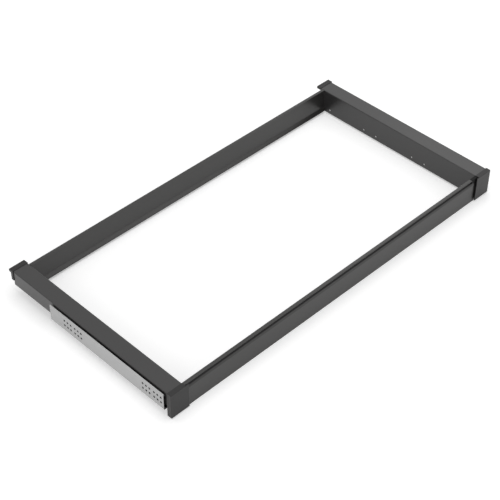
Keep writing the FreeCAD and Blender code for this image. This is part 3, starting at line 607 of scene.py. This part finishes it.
def colour_of(name, description, hex_colour):
    return FloatVectorProperty(name=name, description=description, size=4, min=0.0, max=1.0,
                               default=linear(hex_colour), subtype="COLOR")


class WardrobeFinishes(PropertyGroup):
    """Colours of the finishes."""
    # The dark coats are written darker than they look, because most of the light that they
    # send back is the reflection of the white room.
    rail_colour: colour_of("Rail powder", "Powder coat of the side rails", "#2a2929")
    bar_colour: colour_of("Bar powder", "Powder coat of the cross bars", "#272625")
    cap_colour: colour_of("Cap plastic", "Moulded end caps", "#212020")
    # The insert's near-black is painted shade.
    insert_colour: colour_of("Insert plastic", "Black insert of the front bar", "#0a0a0a")
    zinc_colour: colour_of("Zinc", "Plating of the brackets and fasteners", "#ababab")
    slide_colour: colour_of("Slide zinc", "Plating of the slide members", "#b0b0ae")
    cage_colour: colour_of("Cage strip", "Stamped ball cages", "#8b8986")
    ball_colour: colour_of("Ball steel", "Bearing balls", "#c2c1be")
    stop_colour: colour_of("Stop plastic", "Rear stops of the slides", "#2e2e2f")


class WardrobeBars(PropertyGroup):
    """Sizes of the section that the cross bars are drawn to."""
    thickness: length_of("Thickness", "From the outer face to the inner one", 7.6)
    wall: length_of("Wall", "Wall round the hollow chambers", 1.6)
    lip: length_of("Lip", "Thickness of the lip along the top", 2.0)
    groove_depth: length_of("Groove depth", "Depth of the grip groove under the lip", 6.0)
    groove_height: length_of("Groove height", "Straight part of the groove", 6.0)
    groove_bend: length_of("Groove bend", "Radius between lip and groove", 1.2)
    cove: length_of("Cove", "Radius from the groove out to the face", 9.0)
    rib_drop: length_of("Rib drop", "Start of the sloping rib below the top", 47.6)
    rib_depth: length_of("Rib depth", "How far the rib stands out of the inner face", 6.6)
    rib_height: length_of("Rib height", "Height of the rib", 8.6)
    rib_bend: length_of("Rib bend", "Radius along the rib's edge", 0.8)
    port_block: length_of("Port block", "Height of the solid stretch round a port", 7.0)
    port: length_of("Port", "Across a screw port", 3.6)
    upper_port_drop: length_of("Upper port", "Upper screw port below the top", 20.5)
    lower_port_drop: length_of("Lower port", "Lower screw port below the top", 53.0)


class WardrobeBalls(PropertyGroup):
    """Sizes of the bearing balls."""
    diameter: length_of("Diameter", "Across one ball", 3.0)
    rows: IntProperty(name="Rows", description="Bands of faces from pole to pole", default=16)
    turns: IntProperty(name="Turns", description="Faces round a ball", default=28)


class WardrobeFasteners(PropertyGroup):
    """Sizes of the screws and rivets."""
    head_diameter: length_of("Screw head", "Across a pan head", 6.2)
    head_height: length_of("Head height", "Height of a pan head", 2.0)
    recess_span: length_of("Recess span", "From end to end of the cross in a head", 3.6)
    recess_width: length_of("Recess width", "Across one arm of the cross", 1.1)
    recess_depth: length_of("Recess depth", "Depth of the cross at its middle", 1.2)
    thread_diameter: length_of("Thread", "Across the thread", 3.4)
    thread_pitch: length_of("Pitch", "From one turn of the thread to the next", 1.3)
    screw_length: length_of("Screw length", "Below the head", 16.0)
    rivet_hole: length_of("Rivet hole", "Across the hole that a set rivet fills", 4.2)
    rivet_head_diameter: length_of("Rivet head", "Across a rivet's head", 7.0)
    rivet_head_height: length_of("Rivet head height", "Height of a rivet's head", 1.3)
    turns: IntProperty(name="Turns", description="Faces round a fastener", default=42)


class WardrobeStage(PropertyGroup):
    """The camera, the lights and the floor."""
    camera_place: FloatVectorProperty(
        name="Camera", description="Place of the camera", size=3, subtype="TRANSLATION",
        unit="LENGTH", default=(-1.5639, -1.5421, 1.9426))
    camera_yaw: FloatProperty(
        name="Yaw", description="Turn from the frame's depth towards +X", subtype="ANGLE",
        unit="ROTATION", default=math.radians(44.868))
    camera_pitch: FloatProperty(
        name="Pitch", description="Angle that the camera looks down", subtype="ANGLE",
        unit="ROTATION", default=math.radians(41.933))
    camera_roll: FloatProperty(
        name="Roll", description="Lean of the camera about its view", subtype="ANGLE",
        unit="ROTATION", default=math.radians(0.203))
    lens: FloatProperty(name="Lens", description="Focal length in millimetres", default=97.70)
    floor_size: FloatProperty(name="Floor", description="Width of the floor", default=14.0,
                              unit="LENGTH", subtype="DISTANCE")
    floor_colour: colour_of("Floor colour", "Pale floor under the frame", "#efefef")
    floor_glow: FloatProperty(
        name="Floor glow", description="White that the camera and reflections see on the floor",
        default=0.36)
    room_light: FloatProperty(name="Room light", description="Even light that the room sheds",
                              default=0.39)


# Operators

class PieceOperator:
    """What the operators have in common."""
    bl_options = {"REGISTER", "UNDO"}


class WARDROBE_OT_side_rails(PieceOperator, Operator):
    """Finish the two side rails"""
    bl_idname = "wardrobe.side_rails"
    bl_label = "Side rails"

    def execute(self, context):
        dress([f"{side}_side_rail" for side in SIDES], powder_coated_steel)
        return {"FINISHED"}


class WARDROBE_OT_cross_bars(PieceOperator, Operator):
    """Draw the front and back bars and finish the insert of the front one"""
    bl_idname = "wardrobe.cross_bars"
    bl_label = "Cross bars"

    def execute(self, context):
        settings = context.scene.wardrobe_bars
        for end in ENDS:
            shape = bar_shape(settings, end)
            add_piece(f"{end}_drawn_bar", f"{end}_cross_bar", shape, np.zeros((1, 3)),
                      "bar_coat", powder_coated_aluminium,
                      # The groove attribute marks the points that get painted shade.
                      groove=in_groove(settings, end, shape[0]))
        # The near-black insert is painted shade at the lip's right end.
        dress(["front_bar_end_insert"], painted_shade_insert)
        return {"FINISHED"}


class WARDROBE_OT_end_caps(PieceOperator, Operator):
    """Finish the four end caps"""
    bl_idname = "wardrobe.end_caps"
    bl_label = "End caps"

    def execute(self, context):
        dress([f"{end}_{side}_end_cap" for end in ENDS for side in SIDES], moulded_abs)
        return {"FINISHED"}


class WARDROBE_OT_mounting_brackets(PieceOperator, Operator):
    """Finish the two mounting brackets"""
    bl_idname = "wardrobe.mounting_brackets"
    bl_label = "Mounting brackets"

    def execute(self, context):
        dress([f"{side}_mounting_bracket" for side in SIDES], zinc_plated_sheet)
        return {"FINISHED"}


class WARDROBE_OT_ball_slides(PieceOperator, Operator):
    """Finish the members, cages and stops of the ball slides"""
    bl_idname = "wardrobe.ball_slides"
    bl_label = "Ball slides"

    def execute(self, context):
        members = ("cabinet_rail", "middle_rail", "drawer_rail")
        cages = ("outer_ball_cage", "inner_ball_cage")
        dress([f"{side}_{member}" for side in SIDES for member in members],
              zinc_plated_slide_steel)
        dress([f"{side}_{cage}" for side in SIDES for cage in cages], plain_rolled_cage_steel)
        dress([f"{side}_rear_stop" for side in SIDES], moulded_acetal)
        return {"FINISHED"}


class WARDROBE_OT_bearing_balls(PieceOperator, Operator):
    """Put smooth balls in the cages of the slides"""
    bl_idname = "wardrobe.bearing_balls"
    bl_label = "Bearing balls"

    def execute(self, context):
        settings = context.scene.wardrobe_balls
        shape = ball_shape(settings.diameter / 2, settings.rows, settings.turns)
        for side in SIDES:
            for row in ("outer", "inner"):
                node = f"{side}_{row}_balls"
                low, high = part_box(node)
                places = row_places(node, (low.x + high.x) / 2, settings.diameter)
                add_piece(f"{side}_{row}_bearing_balls", node, shape, places, "ball_steel",
                          bearing_steel)
        return {"FINISHED"}


class WARDROBE_OT_screws(PieceOperator, Operator):
    """Put threaded pan-head screws in the ends of the cross bars"""
    bl_idname = "wardrobe.screws"
    bl_label = "Screws"

    def execute(self, context):
        settings = context.scene.wardrobe_fasteners
        shape = screw_shape(settings)
        for side, sign in SIDES.items():
            node = f"{side}_cross_bar_screws"
            places = row_places(node, head_seat(node, sign, settings.head_height),
                                settings.head_diameter)
            add_piece(f"{side}_pan_head_screws", node, along_x(shape, sign), places,
                      "screw_steel", zinc_plated_fastener)
        return {"FINISHED"}


class WARDROBE_OT_rivets(PieceOperator, Operator):
    """Put domed rivets in the brackets and, painted over, in the side rails"""
    bl_idname = "wardrobe.rivets"
    bl_label = "Rivets"

    def execute(self, context):
        settings = context.scene.wardrobe_fasteners
        kinds = (("bracket_rivets", "bracket_dome_rivets", "rivet_steel", zinc_plated_fastener),
                 ("drawer_rail_rivets", "rail_dome_rivets", "rail_paint", powder_coated_steel))
        head = settings.rivet_head_height
        for side, sign in SIDES.items():
            for fastened, name, slot, maker in kinds:
                node = f"{side}_{fastened}"
                low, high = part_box(node)
                shape = rivet_shape(settings, high.x - low.x - head)
                places = row_places(node, head_seat(node, sign, head),
                                    settings.rivet_head_diameter)
                add_piece(f"{side}_{name}", node, along_x(shape, sign), places, slot, maker)
        return {"FINISHED"}


# Stage

# Name, place, point aimed at and size, in metres, and watts
LIGHTS = (
    ("left_softbox", (-2.4, -0.7, 1.2), (0.0, 0.0, 0.0), 1.6, 16.4),
    ("front_softbox", (1.2, -2.1, 0.7), (0.2, 0.1, 0.0), 1.2, 4.8),
    ("right_softbox", (1.1, 0.2, 1.1), (0.48, 0.0, 0.0), 0.8, 1.95),
    ("right_back_softbox", (1.8, 1.3, 1.65), (0.45, 0.0, 0.06), 0.9, 0.95),
    ("overhead_softbox", (0.0, 0.0, 3.4), (0.0, 0.0, 0.0), 2.6, 42.4),
)


def add_light(name, place, aim, size, watts):
    """A square softbox at a place, turned to the point that it is aimed at."""
    lamp = bpy.data.lights.new(name, "AREA")
    lamp.shape = "SQUARE"
    lamp.size = size
    lamp.energy = watts
    box = bpy.data.objects.new(name, lamp)
    box.location = place
    box.rotation_euler = (Vector(aim) - Vector(place)).to_track_quat("-Z", "Y").to_euler()
    bpy.context.scene.collection.objects.link(box)


def seen_directly(tree):
    """1 for the camera and for what reflects or passes light straight, else 0."""
    path = add_node(tree, "ShaderNodeLightPath")
    straight = add_node(tree, "ShaderNodeMath", {
        0: path.outputs["Is Glossy Ray"], 1: path.outputs["Is Transmission Ray"]},
        operation="MAXIMUM")
    return add_node(tree, "ShaderNodeMath", {
        0: straight.outputs["Value"], 1: path.outputs["Is Camera Ray"]},
        operation="MAXIMUM").outputs["Value"]


def add_camera(scene, settings):
    """The photograph's camera, as solved from the frame's straight edges."""
    lens = bpy.data.cameras.new("camera")
    lens.lens = settings.lens
    lens.sensor_width = SENSOR_WIDTH
    camera = bpy.data.objects.new("camera", lens)
    turn = (Matrix.Rotation(-settings.camera_yaw, 4, "Z")
            @ Matrix.Rotation(math.radians(90) - settings.camera_pitch, 4, "X")
            @ Matrix.Rotation(settings.camera_roll, 4, "Z"))
    camera.matrix_world = Matrix.Translation(settings.camera_place) @ turn
    scene.collection.objects.link(camera)
    scene.camera = camera
    scene.view_settings.view_transform = "Standard"


def studio_paper(settings):
    """Matt paper. A glow that only straight rays see takes it to white, and the shadow of the
    frame stays in what the paper scatters. Past the reach of the lamps the glow grows."""
    material, tree, shader, place = new_material("studio_paper")
    away = add_node(tree, "ShaderNodeVectorMath", {"Vector": place}, operation="LENGTH")
    level = add_node(tree, "ShaderNodeMapRange", {
        "Value": away.outputs["Value"], "From Min": GLOW_START, "From Max": GLOW_END,
        "To Min": settings.floor_glow, "To Max": 1.0})
    glow = add_node(tree, "ShaderNodeMath", {
        0: seen_directly(tree), 1: level.outputs["Result"]}, operation="MULTIPLY")
    feed(tree, shader, {
        "Base Color": settings.floor_colour, "Roughness": PAPER_ROUGHNESS,
        "Specular IOR Level": 0.0, "Emission Color": WHITE,
        "Emission Strength": glow.outputs["Value"]})
    return material


def add_floor(scene, settings):
    """A square sheet of paper under the frame."""
    half = settings.floor_size / 2
    spread = np.array([-half, half])
    x, y = (grid.ravel() for grid in np.meshgrid(spread, spread))
    mesh = bpy.data.meshes.new("floor")
    mesh.from_pydata(np.stack([x, y, np.zeros(4)], axis=-1).tolist(), [], [(0, 1, 3, 2)])
    floor = bpy.data.objects.new("floor", mesh)
    scene.collection.objects.link(floor)
    mesh.materials.append(studio_paper(settings))


def add_room(scene, settings):
    """A white room that sheds less light than it shows."""
    world = bpy.data.worlds.new("room")
    world.use_nodes = True
    tree = world.node_tree
    tree.nodes.clear()
    level = add_node(tree, "ShaderNodeMapRange", {
        "Value": seen_directly(tree), "To Min": settings.room_light, "To Max": 1.0})
    room = add_node(tree, "ShaderNodeBackground", {
        "Color": WHITE, "Strength": level.outputs["Result"]})
    add_node(tree, "ShaderNodeOutputWorld", {"Surface": room.outputs["Background"]})
    scene.world = world


class WARDROBE_OT_stage(PieceOperator, Operator):
    """Set up the camera, the lights and the pale floor"""
    bl_idname = "wardrobe.stage"
    bl_label = "Stage"

    def execute(self, context):
        settings = context.scene.wardrobe_stage
        add_camera(context.scene, settings)
        add_floor(context.scene, settings)
        add_room(context.scene, settings)
        for light in LIGHTS:
            add_light(*light)
        return {"FINISHED"}


STEPS = (WARDROBE_OT_side_rails, WARDROBE_OT_cross_bars, WARDROBE_OT_end_caps,
         WARDROBE_OT_mounting_brackets, WARDROBE_OT_ball_slides, WARDROBE_OT_bearing_balls,
         WARDROBE_OT_screws, WARDROBE_OT_rivets, WARDROBE_OT_stage)


class WARDROBE_PT_frame(Panel):
    """The pieces of the frame, one button each"""
    bl_label = "Wardrobe frame"
    bl_idname = "WARDROBE_PT_frame"
    bl_space_type = "VIEW_3D"
    bl_region_type = "UI"
    bl_category = "Wardrobe frame"

    def draw(self, context):
        for step in STEPS:
            self.layout.operator(step.bl_idname)
        for group in GROUPS:
            settings = getattr(context.scene, group)
            box = self.layout.box()
            for name in settings.__annotations__:
                box.prop(settings, name)


GROUPS = {
    "wardrobe_finishes": WardrobeFinishes,
    "wardrobe_bars": WardrobeBars,
    "wardrobe_balls": WardrobeBalls,
    "wardrobe_fasteners": WardrobeFasteners,
    "wardrobe_stage": WardrobeStage,
}
CLASSES = (*GROUPS.values(), *STEPS, WARDROBE_PT_frame)


def register():
    for item in CLASSES:
        bpy.utils.register_class(item)
    for name, group in GROUPS.items():
        setattr(bpy.types.Scene, name, PointerProperty(type=group))


def unregister():
    for name in GROUPS:
        delattr(bpy.types.Scene, name)
    for item in reversed(CLASSES):
        bpy.utils.unregister_class(item)


def main():
    """Register the add-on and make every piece."""
    register()
    for step in STEPS:
        family, name = step.bl_idname.split(".")
        getattr(getattr(bpy.ops, family), name)()


if __name__ == "__main__":
    main()
